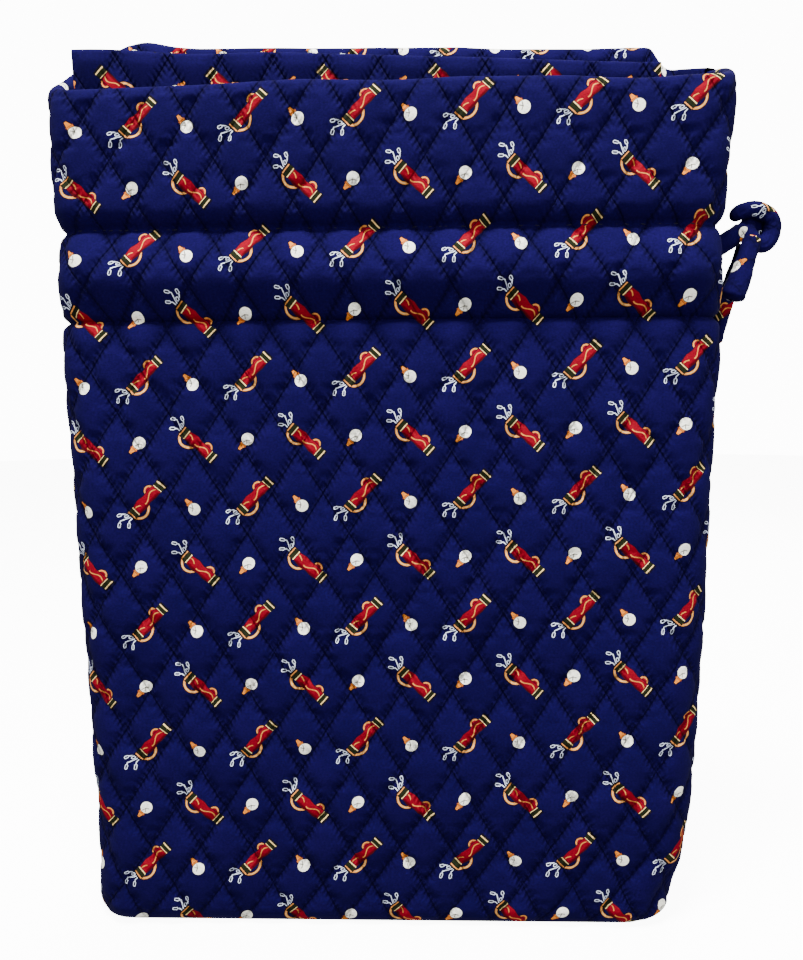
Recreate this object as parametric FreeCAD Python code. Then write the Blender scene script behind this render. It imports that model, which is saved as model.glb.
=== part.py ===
import FreeCAD, Part
import math
import os

"""Quilted drawstring bag for one pair of golf shoes, in millimetres.

Z is up and the bag stands on its boxed bottom. The origin is the middle of the bottom, X runs
to the bag's right side, where the drawstring leaves its casing, and the front faces -Y.
"""

V = FreeCAD.Vector
os.makedirs("parts", exist_ok=True)

# ---- driving dimensions, mm -------------------------------------------------------------
TOP_Z = 398.0                # top edge of the front header
BACK_TOP_Z = 432.0           # the back header stands higher
DIVIDER_TOP_Z = 419.0        # the divider shows between them
CASING_LOW_Z = 292.0         # lower stitch row of the drawstring casing
CASING_HIGH_Z = 334.0        # upper stitch row of the drawstring casing
BOTTOM_HALF_WIDTH = 139.0
BOTTOM_HALF_DEPTH = 31.0
BODY_CORNER = 22.0           # vertical edges of the filled bag, seen from above
HEADER_CORNER = 15.0
CORNER_TAPER_Z = 230.0       # the corners tighten from here up to the casing

# Half width and half depth of the outer face at each height.
BODY_STATIONS = [
    (0.0, BOTTOM_HALF_WIDTH, BOTTOM_HALF_DEPTH),
    (2.0, 141.6, 32.8),
    (5.0, 143.2, 34.0),
    (9.0, 144.2, 34.7),
    (15.0, 145.0, 35.0),
    (40.0, 146.6, 35.2),
    (80.0, 149.6, 35.0),
    (130.0, 151.6, 34.4),
    (180.0, 153.6, 33.4),
    (230.0, 155.6, 32.0),
    (272.0, 156.8, 30.6),
    (CASING_LOW_Z, 156.4, 29.5),
]
HEADER_STATIONS = [
    (CASING_LOW_Z, 156.4, 29.5),
    (CASING_HIGH_Z, 156.0, 29.5),
    (364.0, 157.6, 30.4),
    (TOP_Z, 158.4, 31.0),
    (BACK_TOP_Z, 157.4, 31.6),
]

OUTER_CLOTH = 0.5            # printed cotton
BATTING = 2.6                # quilted filling
LINING = 0.5
FACING = 2.6                 # quilted header turned down inside
LAYER_GAP = 0.05             # between two layers of the same wall
JOIN_GAP = 0.3               # between pieces that meet edge to edge
CASING_NARROW = 4.0          # the drawn casing is narrower than the header at half its height
CASING_DEEPER = 2.5          # and deeper
CASING_OUT = 4.0             # how far the casing puffs out at half its height
CASING_IN = 6.0              # how far its facing puffs inward
CASING_STEPS = 8
FOLD_HEIGHT = 1.6            # rolled edge along the top of each header
SPLIT_X = 134.0              # the header's flat panels end here and its sides begin
BODY_SPLIT_X = 108.0         # the same for the body's filling

SEAM_DEEP = 5.0              # bound allowance that stands into the bag at each side seam
SEAM_THICK = 3.0
SEAM_LOW_Z = 8.0
SEAM_STEPS = 6
DIVIDER_HALF_TOP = 134.0
DIVIDER_LEAN = -12.0         # the divider's top edge leans to the front compartment
DIVIDER_LEAN_FROM_Z = 90.0
DIVIDER_FACE = 0.5
DIVIDER_CORE = 3.0
DIVIDER_SIDE_CLEAR = 14.0
DIVIDER_HALF_MOST = 138.0
DIVIDER_LIFT = 1.2           # between the bottom's lining and the divider
DIVIDER_SECTIONS = [20.0, 50.0, DIVIDER_LEAN_FROM_Z, 150.0, 220.0, 270.0, 300.0]

CORD = 8.5                   # drawstring: a soft tube of the same cotton
CORD_Z = (CASING_LOW_Z + CASING_HIGH_Z) / 2
EXIT_BEND = 9.9              # each strand turns out of the casing round this radius
EXIT_RISE = math.radians(45.0)
EXIT_HALF_SLIT = 10.5        # the side seam is left open where the strands come out
EXIT_SLIT = (CORD_Z - 3.0, CORD_Z + 16.0)
STRAND_GAP = 0.7             # between the two strands
HELD_LENGTH = 5.0            # straight part of each strand up to where it is free
KNOT_AT = V(177.2, -1.0, 336.0)
KNOT_LOOP = 6.6              # from the knot's middle to the middle of its loop
KNOT_BAR_HALF = 4.6
KNOT_KNOB = V(-8.7, -1.0, 4.5)
STITCH = 0.4
STITCH_LONG = 3.4
STITCH_PITCH = 5.6
STITCH_OFF = 0.12            # a stitch lies this far off the cloth

PAST_SIDE = 200.0            # well outside the bag's side
WALL = OUTER_CLOTH + LAYER_GAP + BATTING + LAYER_GAP + LINING
BATTING_FROM = OUTER_CLOTH + LAYER_GAP
BATTING_TO = BATTING_FROM + BATTING
LINING_FROM = BATTING_TO + LAYER_GAP
FACING_FROM = WALL + LAYER_GAP
FACING_TO = FACING_FROM + FACING
FLOOR_INSET = WALL + JOIN_GAP
SAME_HEIGHT = 0.5            # two sections nearer than this are one section

FRONT = -1.0
BACK = 1.0


def between(rows, z):
    """Half width and half depth at height z, straight between two stations."""
    for low, high in zip(rows, rows[1:]):
        if low[0] <= z <= high[0]:
            share = (z - low[0]) / (high[0] - low[0])
            return tuple(p + (q - p) * share for p, q in zip(low[1:], high[1:]))
    return rows[-1][1:] if z > rows[-1][0] else rows[0][1:]


def casing_puff(z):
    """0 at both casing stitch rows and outside them, 1 half way between them."""
    share = (z - CASING_LOW_Z) / (CASING_HIGH_Z - CASING_LOW_Z)
    if share <= 0.0 or share >= 1.0:
        return 0.0
    return math.sin(math.pi * share) ** 2


def header_heights(low, high):
    """Heights of the header's sections: the casing's steps, then the ruffle above it."""
    step = (CASING_HIGH_Z - CASING_LOW_Z) / CASING_STEPS
    casing = [CASING_LOW_Z + step * i for i in range(CASING_STEPS + 1)]
    above = [station[0] for station in HEADER_STATIONS[2:]]
    inside = [z for z in casing + above if low + SAME_HEIGHT < z < high - SAME_HEIGHT]
    return [low] + inside + [high]


def body_sizes(z, inset):
    half_width, half_depth = between(BODY_STATIONS, z)
    share = max(0.0, (z - CORNER_TAPER_Z) / (CASING_LOW_Z - CORNER_TAPER_Z))
    radius = BODY_CORNER + (HEADER_CORNER - BODY_CORNER) * share
    return half_width - inset, half_depth - inset, radius - inset


def header_sizes(z, inset, puff):
    """puff is how far this face moves inward where the casing is fullest."""
    half_width, half_depth = between(HEADER_STATIONS, z)
    full = casing_puff(z)
    moved = inset + puff * full
    wide = half_width - CASING_NARROW * full - moved
    deep = half_depth + CASING_DEEPER * full - moved
    return wide, deep, HEADER_CORNER - moved


def line(start, end):
    return Part.LineSegment(start, end).toShape()


def corner(start, end, centre, radius):
    """Quarter arc between two points around a centre."""
    middle = (start + end) * 0.5 - centre
    middle.normalize()
    return Part.Arc(start, centre + middle * radius, end).toShape()


def half_outline(sizes, z, side):
    """Edges of one half of the bag's outline, from the left side seam to the right one."""
    wide, deep, radius = sizes
    seam_y = side * JOIN_GAP / 2
    turn_y = side * (deep - radius)
    flat_y = side * deep
    edges = []
    edges.append(line(V(-wide, seam_y, z), V(-wide, turn_y, z)))
    centre = V(-(wide - radius), turn_y, z)
    edges.append(corner(V(-wide, turn_y, z), V(-(wide - radius), flat_y, z), centre, radius))
    edges.append(line(V(-(wide - radius), flat_y, z), V(wide - radius, flat_y, z)))
    centre = V(wide - radius, turn_y, z)
    edges.append(corner(V(wide - radius, flat_y, z), V(wide, turn_y, z), centre, radius))
    edges.append(line(V(wide, turn_y, z), V(wide, seam_y, z)))
    return edges


def side_outline(sizes, z, hand, split_x=SPLIT_X):
    """Edges round one side of the bag, from the front panel to the back panel."""
    wide, deep, radius = sizes
    turn_y = deep - radius
    panel_x = hand * (split_x + JOIN_GAP)
    edges = []
    edges.append(line(V(panel_x, -deep, z), V(hand * (wide - radius), -deep, z)))
    centre = V(hand * (wide - radius), -turn_y, z)
    edges.append(corner(V(hand * (wide - radius), -deep, z), V(hand * wide, -turn_y, z), centre, radius))
    edges.append(line(V(hand * wide, -turn_y, z), V(hand * wide, turn_y, z)))
    centre = V(hand * (wide - radius), turn_y, z)
    edges.append(corner(V(hand * wide, turn_y, z), V(hand * (wide - radius), deep, z), centre, radius))
    edges.append(line(V(hand * (wide - radius), deep, z), V(panel_x, deep, z)))
    return edges


def ends(edges):
    return edges[0].Vertexes[0].Point, edges[-1].Vertexes[-1].Point


def ring(outer, inner):
    """Closed wire between two open outlines."""
    outer_start, outer_end = ends(outer)
    inner_start, inner_end = ends(inner)
    back = list(reversed(inner))
    return Part.Wire(outer + [line(outer_end, inner_end)] + back + [line(inner_start, outer_start)])


def stack(wires):
    """Solid through a list of wires, straight between each two."""
    solid = Part.makeLoft(wires, True, True)
    if not solid.isValid() or solid.Volume <= 0:
        raise ValueError("a stacked wall is not a good solid")
    return solid


def body_heights(low, high):
    stations = [station[0] for station in BODY_STATIONS]
    inside = [z for z in stations if low + SAME_HEIGHT < z < high - SAME_HEIGHT]
    return [low] + inside + [high]


def panel_ring(half, outer_y, inner_y, z):
    """Closed wire round a flat panel of the wall."""
    points = [V(-half, outer_y, z), V(half, outer_y, z), V(half, inner_y, z), V(-half, inner_y, z)]
    return Part.makePolygon(points + points[:1])


def body_panel(side, inset_from, inset_to, low, high):
    """Flat middle of the front or back wall."""
    wires = []
    for z in body_heights(low, high):
        outer_y = side * body_sizes(z, inset_from)[1]
        inner_y = side * body_sizes(z, inset_to)[1]
        wires.append(panel_ring(BODY_SPLIT_X, outer_y, inner_y, z))
    return stack(wires)


def body_side(hand, inset_from, inset_to, low, high):
    """One side of the wall, round from the front panel to the back panel."""
    wires = []
    for z in body_heights(low, high):
        outer = side_outline(body_sizes(z, inset_from), z, hand, BODY_SPLIT_X)
        inner = side_outline(body_sizes(z, inset_to), z, hand, BODY_SPLIT_X)
        wires.append(ring(outer, inner))
    return stack(wires)


def body_wall(side, inset_from, inset_to, low, high):
    wires = []
    for z in body_heights(low, high):
        outer = half_outline(body_sizes(z, inset_from), z, side)
        inner = half_outline(body_sizes(z, inset_to), z, side)
        wires.append(ring(outer, inner))
    return stack(wires)


def under_slope(below):
    """Everything lower than the sides' top edge, which rises from the front header to the back one."""
    reach = 2 * BOTTOM_HALF_DEPTH
    rise = (BACK_TOP_Z - TOP_Z) / 2
    half_depth = between(HEADER_STATIONS, TOP_Z)[1]
    middle = TOP_Z + rise - below
    high = rise * reach / half_depth
    corners = [
        V(-PAST_SIDE, -reach, 0),
        V(-PAST_SIDE, reach, 0),
        V(-PAST_SIDE, reach, middle + high),
        V(-PAST_SIDE, -reach, middle - high),
    ]
    return Part.Face(Part.makePolygon(corners + corners[:1])).extrude(V(2 * PAST_SIDE, 0, 0))


def header_side(hand, inset_from, inset_to, puff, low):
    """One side of the header up to its sloping edge, less the rolled fold."""
    wires = []
    for z in header_heights(low, BACK_TOP_Z):
        outer = side_outline(header_sizes(z, inset_from, puff), z, hand)
        inner = side_outline(header_sizes(z, inset_to, puff), z, hand)
        wires.append(ring(outer, inner))
    return stack(wires).common(under_slope(FOLD_HEIGHT + LAYER_GAP))


def header_side_fold(hand):
    """Rolled edge along the sloping top of one side."""
    low = TOP_Z - 3 * FOLD_HEIGHT
    wires = []
    for z in (low, BACK_TOP_Z):
        outer = side_outline(header_sizes(z, 0.0, 0.0), z, hand)
        inner = side_outline(header_sizes(z, FACING_TO, 0.0), z, hand)
        wires.append(ring(outer, inner))
    return stack(wires).common(under_slope(0.0)).cut(under_slope(FOLD_HEIGHT))


def header_panel(side, inset_from, inset_to, puff, low, high):
    """Flat middle of the front or back header, which leans as one piece."""
    wires = []
    for z in header_heights(low, high):
        outer_y = side * header_sizes(z, inset_from, puff)[1]
        inner_y = side * header_sizes(z, inset_to, puff)[1]
        wires.append(panel_ring(SPLIT_X, outer_y, inner_y, z))
    return stack(wires)


def whole_outline(sizes, z):
    """Edges of a whole rounded outline."""
    wide, deep, radius = sizes
    edges = []
    turns = [(1, -1), (1, 1), (-1, 1), (-1, -1)]
    last = V(-(wide - radius), -deep, z)
    for sign_x, sign_y in turns:
        centre = V(sign_x * (wide - radius), sign_y * (deep - radius), z)
        on_side = centre + V(sign_x * radius, 0, 0)
        on_face = centre + V(0, sign_y * radius, 0)
        first, second = (on_face, on_side) if sign_x * sign_y < 0 else (on_side, on_face)
        edges.append(line(last, first))
        edges.append(corner(first, second, centre, radius))
        last = second
    return edges


def floor_layer(low, high):
    """One layer of the boxed bottom, inside the walls' lower edges."""
    wires = []
    for z in (low, high):
        sizes = body_sizes(z, FLOOR_INSET)
        wires.append(Part.Wire(whole_outline(sizes, z)))
    return stack(wires)


def side_seam(hand, low, high):
    """Bound seam allowance that stands into the bag from a side seam."""
    wires = []
    for i in range(SEAM_STEPS + 1):
        z = low + (high - low) * i / SEAM_STEPS
        outer_x = hand * (between(BODY_STATIONS, z)[0] - WALL - JOIN_GAP)
        inner_x = outer_x - hand * SEAM_DEEP
        points = [
            V(outer_x, -SEAM_THICK / 2, z),
            V(outer_x, SEAM_THICK / 2, z),
            V(inner_x, SEAM_THICK / 2, z),
            V(inner_x, -SEAM_THICK / 2, z),
        ]
        wires.append(Part.makePolygon(points + points[:1]))
    return stack(wires)


def divider_y(z):
    """The divider hangs straight low down and leans to the front higher up."""
    if z <= DIVIDER_LEAN_FROM_Z:
        return 0.0
    share = (z - DIVIDER_LEAN_FROM_Z) / (DIVIDER_TOP_Z - DIVIDER_LEAN_FROM_Z)
    return DIVIDER_LEAN * share


def divider_half_width(z):
    if z < CASING_LOW_Z:
        return min(between(BODY_STATIONS, z)[0] - DIVIDER_SIDE_CLEAR, DIVIDER_HALF_MOST)
    return DIVIDER_HALF_TOP


def divider_layer(y_from, y_to, low, high):
    wires = []
    for z in [low] + DIVIDER_SECTIONS + [high]:
        y = divider_y(z)
        wires.append(panel_ring(divider_half_width(z), y + y_from, y + y_to, z))
    return stack(wires)


def cord_path(name, points):
    """Straight runs joined by tangent arcs. Each arc's radius comes from its shorter run."""
    edges = []
    here = points[0]
    length = 0.0
    for before, at, after in zip(points, points[1:], points[2:]):
        arriving = at - before
        leaving = after - at
        shorter = min(arriving.Length, leaving.Length)
        turn = arriving.getAngle(leaving)
        reach = 0.45 * shorter
        radius = reach / math.tan(turn / 2)
        arriving.normalize()
        leaving.normalize()
        start = at - arriving * reach
        end = at + leaving * reach
        inward = leaving - arriving
        inward.normalize()
        centre = at + inward * (radius / math.cos(turn / 2))
        middle = centre - inward * radius
        edges.append(line(here, start))
        edges.append(Part.Arc(start, middle, end).toShape())
        length += (start - here).Length + radius * turn
        here = end
        print(name, "radius", round(radius, 2), "turn", round(math.degrees(turn), 1))
    edges.append(line(here, points[-1]))
    length += (points[-1] - here).Length
    return Part.Wire(edges), length


def cord_tube(name, points, diameter=CORD):
    wire, length = cord_path(name, points)
    first = points[0]
    heading = points[1] - points[0]
    section = Part.Wire(Part.Circle(first, heading, diameter / 2).toShape())
    tube = wire.makePipeShell([section], True, False)
    share = tube.Volume / (math.pi * diameter ** 2 / 4 * length)
    print(name, "length", round(length, 1), "volume over section times length", round(share, 3))
    return tube


def rounded_end(tube, at, diameter=CORD):
    """A tucked-in end: a half ball on the end of a tube."""
    return tube.fuse(Part.makeSphere(diameter / 2, at)).removeSplitter()


def stitch_row(side, z, half_length):
    """One row of separate stitches on the outer face of a header panel."""
    deep = header_sizes(z, 0.0, -CASING_OUT)[1]
    count = int(2 * half_length / STITCH_PITCH)
    row = []
    for i in range(count):
        x = (i - (count - 1) / 2) * STITCH_PITCH - STITCH_LONG / 2
        y = deep + STITCH_OFF if side > 0 else -deep - STITCH_OFF - STITCH
        row.append(Part.makeBox(STITCH_LONG, STITCH, STITCH, V(x, y, z - STITCH / 2)))
    return Part.makeCompound(row)


# ---- walls and bottom -------------------------------------------------------------------
pieces = {}
BODY_TOP = CASING_LOW_Z - JOIN_GAP
for name, side in (("front", FRONT), ("back", BACK)):
    pieces[name + "_outer_cloth"] = body_wall(side, 0.0, OUTER_CLOTH, 0.0, BODY_TOP)
    pieces[name + "_batting"] = body_panel(side, BATTING_FROM, BATTING_TO, 0.0, BODY_TOP)
    pieces[name + "_lining"] = body_wall(side, LINING_FROM, WALL, 0.0, BODY_TOP)

for name, hand in (("left", -1.0), ("right", 1.0)):
    pieces[name + "_side_batting"] = body_side(hand, BATTING_FROM, BATTING_TO, 0.0, BODY_TOP)

pieces["bottom_outer_cloth"] = floor_layer(0.0, OUTER_CLOTH)
pieces["bottom_batting"] = floor_layer(BATTING_FROM, BATTING_TO)
pieces["bottom_lining"] = floor_layer(LINING_FROM, WALL)

# ---- header and casing: wall, turned-down facing and rolled edge ------------------------
HEADER_LOW = CASING_LOW_Z + JOIN_GAP
for name, side, top in (("front", FRONT, TOP_Z), ("back", BACK, BACK_TOP_Z)):
    low = HEADER_LOW
    high = top - FOLD_HEIGHT - LAYER_GAP
    pieces[name + "_header_cloth"] = header_panel(side, 0.0, OUTER_CLOTH, -CASING_OUT, low, high)
    pieces[name + "_header_batting"] = header_panel(side, BATTING_FROM, WALL, -CASING_OUT, low, high)
    pieces[name + "_header_facing"] = header_panel(side, FACING_FROM, FACING_TO, CASING_IN, low, high)
    pieces[name + "_header_fold"] = header_panel(side, 0.0, FACING_TO, 0.0, top - FOLD_HEIGHT, top)
    for row, z in (("lower", CASING_LOW_Z + 1.0), ("upper", CASING_HIGH_Z)):
        pieces[name + "_" + row + "_casing_stitches"] = stitch_row(side, z, SPLIT_X - 2.0)

for name, hand in (("left", -1.0), ("right", 1.0)):
    pieces[name + "_header_side_cloth"] = header_side(hand, 0.0, OUTER_CLOTH, -CASING_OUT, HEADER_LOW)
    pieces[name + "_header_side_batting"] = header_side(hand, BATTING_FROM, WALL, -CASING_OUT, HEADER_LOW)
    pieces[name + "_header_side_facing"] = header_side(hand, FACING_FROM, FACING_TO, CASING_IN, HEADER_LOW)
    pieces[name + "_header_side_fold"] = header_side_fold(hand)

# ---- side seams -------------------------------------------------------------------------
for name, hand in (("left", -1.0), ("right", 1.0)):
    pieces[name + "_side_seam"] = side_seam(hand, SEAM_LOW_Z, BODY_TOP)

# ---- divider ----------------------------------------------------------------------------
CORE = DIVIDER_CORE / 2
FACE_AT = CORE + LAYER_GAP
DIVIDER_LOW = WALL + DIVIDER_LIFT
pieces["divider_batting"] = divider_layer(-CORE, CORE, DIVIDER_LOW, DIVIDER_TOP_Z)
pieces["divider_front_cloth"] = divider_layer(-FACE_AT - DIVIDER_FACE, -FACE_AT, DIVIDER_LOW, DIVIDER_TOP_Z)
pieces["divider_back_cloth"] = divider_layer(FACE_AT, FACE_AT + DIVIDER_FACE, DIVIDER_LOW, DIVIDER_TOP_Z)

# ---- drawstring -------------------------------------------------------------------------
# The channel lies between the wall's inner face and the facing's outer face.
CHANNEL_INSET = (WALL - CASING_OUT + FACING_FROM + CASING_IN) / 2
CHANNEL_WIDE, CHANNEL_DEEP, CHANNEL_RADIUS = header_sizes(CORD_Z, CHANNEL_INSET, 0.0)
for name, side in (("front", FRONT), ("back", BACK)):
    run = Part.makeCylinder(CORD / 2, 2 * SPLIT_X, V(-SPLIT_X, side * CHANNEL_DEEP, CORD_Z), V(1, 0, 0))
    pieces["drawstring_" + name + "_run"] = run


def channel_arc(hand, side):
    """Quarter turn of the strand inside one rounded corner of the casing."""
    centre = V(hand * (CHANNEL_WIDE - CHANNEL_RADIUS), side * (CHANNEL_DEEP - CHANNEL_RADIUS), CORD_Z)
    on_face = centre + V(0, side * CHANNEL_RADIUS, 0)
    on_side = centre + V(hand * CHANNEL_RADIUS, 0, 0)
    return on_face, on_side, corner(on_face, on_side, centre, CHANNEL_RADIUS)


def tube_on(wire, start, heading):
    section = Part.Wire(Part.Circle(start, heading, CORD / 2).toShape())
    return wire.makePipeShell([section], True, False)


# Left: round the whole side. Right: each strand turns the corner and comes up to the exit.
left_front = channel_arc(-1.0, FRONT)
left_back = channel_arc(-1.0, BACK)
start = V(-SPLIT_X - JOIN_GAP, FRONT * CHANNEL_DEEP, CORD_Z)
finish = V(-SPLIT_X - JOIN_GAP, BACK * CHANNEL_DEEP, CORD_Z)
left_edges = [
    line(start, left_front[0]),
    left_front[2],
    line(left_front[1], left_back[1]),
    left_back[2],
    line(left_back[0], finish),
]
pieces["drawstring_left_turn"] = tube_on(Part.Wire(left_edges), start, V(-1, 0, 0))

STRAND_Y = (CORD + STRAND_GAP) / 2
OUT_OF_CASING = V(math.cos(EXIT_RISE), 0, math.sin(EXIT_RISE))
strand_ends = {}
for name, side in (("front", FRONT), ("back", BACK)):
    on_face, on_side, arc = channel_arc(1.0, side)
    start = V(SPLIT_X + JOIN_GAP, side * CHANNEL_DEEP, CORD_Z)
    bend_start = V(on_side.x, side * (STRAND_Y + EXIT_BEND), CORD_Z)
    heading = V(0, -side, 0)
    bend_centre = bend_start + OUT_OF_CASING * EXIT_BEND
    bend_end = bend_centre + heading * EXIT_BEND
    bend = corner(bend_start, bend_end, bend_centre, EXIT_BEND)
    finish = bend_end + OUT_OF_CASING * HELD_LENGTH
    edges = [line(start, on_face), arc, line(on_side, bend_start), bend, line(bend_end, finish)]
    pieces["drawstring_right_" + name + "_turn"] = tube_on(Part.Wire(edges), start, V(1, 0, 0))
    strand_ends[name] = finish

# The side seam is open at the casing on the right, where the two strands come out.
slit_low, slit_high = EXIT_SLIT
slit_deep = PAST_SIDE - CHANNEL_WIDE
slit_corner = V(CHANNEL_WIDE, -EXIT_HALF_SLIT, slit_low)
slit = Part.makeBox(slit_deep, 2 * EXIT_HALF_SLIT, slit_high - slit_low, slit_corner)
for layer in ("cloth", "batting"):
    node = "right_header_side_" + layer
    pieces[node] = pieces[node].cut(slit)

# Overhand knot: a loop of the tube drawn round a bar of it.
loop = Part.makeTorus(KNOT_LOOP, CORD / 2, KNOT_AT, V(0, 1, 0))
bar = Part.makeCylinder(CORD / 2 - 0.6, 2 * KNOT_BAR_HALF, KNOT_AT - V(0, KNOT_BAR_HALF, 0), V(0, 1, 0))
knob = Part.makeSphere(CORD / 2, KNOT_AT + KNOT_KNOB)
knot = loop.fuse([bar, knob]).removeSplitter()
pieces["drawstring_knot"] = knot

for name, side in (("front", FRONT), ("back", BACK)):
    start = strand_ends[name]
    into_knot = V(KNOT_AT.x - KNOT_LOOP, side * CORD / 4 - 1.0, KNOT_AT.z - 2.0)
    strand = Part.makeCylinder(CORD / 2, (into_knot - start).Length, start, into_knot - start)
    # A strand starts square to the casing's and keeps to its own side of the middle.
    room = 40.0
    clear = Part.makeBox(room, room, room, start - V(room / 2, room / 2, 0))
    clear.rotate(start, V(0, 1, 0), 90 - math.degrees(EXIT_RISE))
    own_y = STRAND_GAP / 4 if side > 0 else -STRAND_GAP / 4 - room
    own_side = Part.makeBox(2 * room, room, 2 * room, V(start.x - room, own_y, start.z - room))
    strand = strand.common(clear).common(own_side).cut(knot)
    solids = sorted(strand.Solids, key=lambda solid: solid.Volume)
    pieces["drawstring_" + name + "_strand"] = solids[-1]

# The two free tails hang from the knot. Each starts in a ball, round which it swings.
FRONT_TAIL = [V(173.6, -10.4, 328.6), V(168.4, -13.4, 315.6), V(161.9, -15.6, 303.4)]
BACK_TAIL = [V(176.5, 8.4, 328.0), V(171.8, 10.4, 314.0), V(166.4, 11.6, 299.5), V(163.6, 12.0, 285.0)]
for name, route in (("front", FRONT_TAIL), ("back", BACK_TAIL)):
    tube = cord_tube(name + " tail", route)
    tube = rounded_end(rounded_end(tube, route[0]), route[-1])
    pieces["drawstring_" + name + "_tail"] = tube

for name, shape in pieces.items():
    if not shape.isValid():
        raise ValueError(name + " is not valid")
    shape.exportStep("parts/" + name + ".step")
    print(name, round(shape.Volume, 1), len(shape.Solids))
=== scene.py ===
import bpy
import math
import numpy as np
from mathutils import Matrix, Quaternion, Vector


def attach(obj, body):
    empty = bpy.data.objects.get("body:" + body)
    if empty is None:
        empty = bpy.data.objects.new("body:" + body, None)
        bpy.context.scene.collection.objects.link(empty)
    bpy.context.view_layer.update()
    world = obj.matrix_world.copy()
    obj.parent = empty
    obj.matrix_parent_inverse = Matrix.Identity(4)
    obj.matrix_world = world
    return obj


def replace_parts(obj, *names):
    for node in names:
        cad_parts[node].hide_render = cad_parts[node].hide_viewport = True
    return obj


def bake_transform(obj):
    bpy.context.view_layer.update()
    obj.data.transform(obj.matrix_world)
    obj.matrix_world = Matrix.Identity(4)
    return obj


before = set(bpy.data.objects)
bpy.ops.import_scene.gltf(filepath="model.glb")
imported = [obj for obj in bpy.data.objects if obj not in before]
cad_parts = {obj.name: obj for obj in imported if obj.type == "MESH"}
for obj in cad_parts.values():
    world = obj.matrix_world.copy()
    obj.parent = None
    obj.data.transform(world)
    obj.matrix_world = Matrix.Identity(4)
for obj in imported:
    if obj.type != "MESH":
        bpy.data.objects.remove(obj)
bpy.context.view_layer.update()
MM = 0.001

# ---- camera ---------------------------------------------------------------------------
CAMERA_AT = Vector((18.0, -441.2, 253.4)) * MM
ELEVATION = math.radians(5.04)
YAW = math.radians(-1.66)
ROLL = math.radians(-0.4)
FOCAL_MM = 33.0


def make_camera():
    data = bpy.data.cameras.new("camera")
    data.lens = FOCAL_MM
    data.sensor_width = 36.0
    camera = bpy.data.objects.new("camera", data)
    bpy.context.scene.collection.objects.link(camera)
    forward = Vector((
        math.sin(YAW) * math.cos(ELEVATION),
        math.cos(YAW) * math.cos(ELEVATION),
        -math.sin(ELEVATION),
    ))
    camera.location = CAMERA_AT
    turn = forward.to_track_quat("-Z", "Y")
    camera.rotation_mode = "QUATERNION"
    camera.rotation_quaternion = turn @ Quaternion((0, 0, 1), ROLL)
    bpy.context.scene.camera = camera


make_camera()

# ---- measures of the bag, mm ------------------------------------------------------------
TOP_Z = 398.0
CASING_LOW_Z = 292.0
CASING_HIGH_Z = 334.0
BACK_TOP_Z = 432.0
DIVIDER_TOP_Z = 419.0
BODY_STATIONS = [
    (0.0, 139.0, 31.0), (2.0, 141.6, 32.8), (5.0, 143.2, 34.0), (9.0, 144.2, 34.7),
    (15.0, 145.0, 35.0), (40.0, 146.6, 35.2), (80.0, 149.6, 35.0), (130.0, 151.6, 34.4),
    (180.0, 153.6, 33.4), (230.0, 155.6, 32.0), (272.0, 156.8, 30.6), (292.0, 156.4, 29.5),
    (334.0, 156.0, 29.5), (364.0, 157.6, 30.4), (398.0, 158.4, 31.0), (432.0, 157.4, 31.6),
]
BODY_CORNER = 22.0
HEADER_CORNER = 15.0
CORNER_TAPER_Z = 230.0
CASING_NARROW = 4.0
CASING_DEEPER = 2.5
CASING_OUT = 4.0
CASING_IN = 6.0
BOTTOM_DEPTH = 57.0

# The cotton is one length: down the front, under the bottom and up the back.
REPEAT_U = 50.8              # the print repeats every two inches along a row
REPEAT_T = 58.2
BALL_U = 10.4                 # a ball of row A stands here, right of the middle
BALL_T = 16.6                # and this far below the top edge
ROW_B = 0.452 * REPEAT_T     # row B lies this far below row A
PRINT_SKEW = 0.029           # the rows climb to the right against the grain
DIAMOND_WIDE = 24.1
DIAMOND_TALL = 38.0
DIAMOND_SIDE = 22.5          # one side of a diamond
DIAMOND_U = -6.6             # one crossing of the quilting lines
DIAMOND_T = 148.0
PUFF = 4.2
GRID = 1.35


# ---- noise ------------------------------------------------------------------------------
def lattice_noise(x, y, seed):
    """Smooth noise from -1 to 1 with a unit cell."""
    rng = np.random.RandomState(int(seed))
    table = rng.uniform(-1, 1, (64, 64))
    xi = np.floor(x).astype(int)
    yi = np.floor(y).astype(int)
    fx = x - xi
    fy = y - yi
    fx = fx * fx * (3 - 2 * fx)
    fy = fy * fy * (3 - 2 * fy)
    a = table[xi % 64, yi % 64]
    b = table[(xi + 1) % 64, yi % 64]
    c = table[xi % 64, (yi + 1) % 64]
    d = table[(xi + 1) % 64, (yi + 1) % 64]
    return (a * (1 - fx) + b * fx) * (1 - fy) + (c * (1 - fx) + d * fx) * fy


def wrinkles(u, t, seed):
    """Low crumples of the padded cotton, in mm."""
    broad = lattice_noise(u / 61.0, t / 47.0, seed)
    middle = lattice_noise(u / 23.0 + 7.3, t / 31.0, seed + 1)
    fine = lattice_noise(u / 7.0, t / 9.0 + 3.1, seed + 2)
    return 1.1 * broad + 0.55 * middle + 0.18 * fine


# ---- outline ----------------------------------------------------------------------------
STATION_Z = np.array([s[0] for s in BODY_STATIONS])
STATION_W = np.array([s[1] for s in BODY_STATIONS])
STATION_D = np.array([s[2] for s in BODY_STATIONS])


def casing_puff(z):
    share = np.clip((z - CASING_LOW_Z) / (CASING_HIGH_Z - CASING_LOW_Z), 0, 1)
    return np.sin(np.pi * share) ** 2


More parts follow.
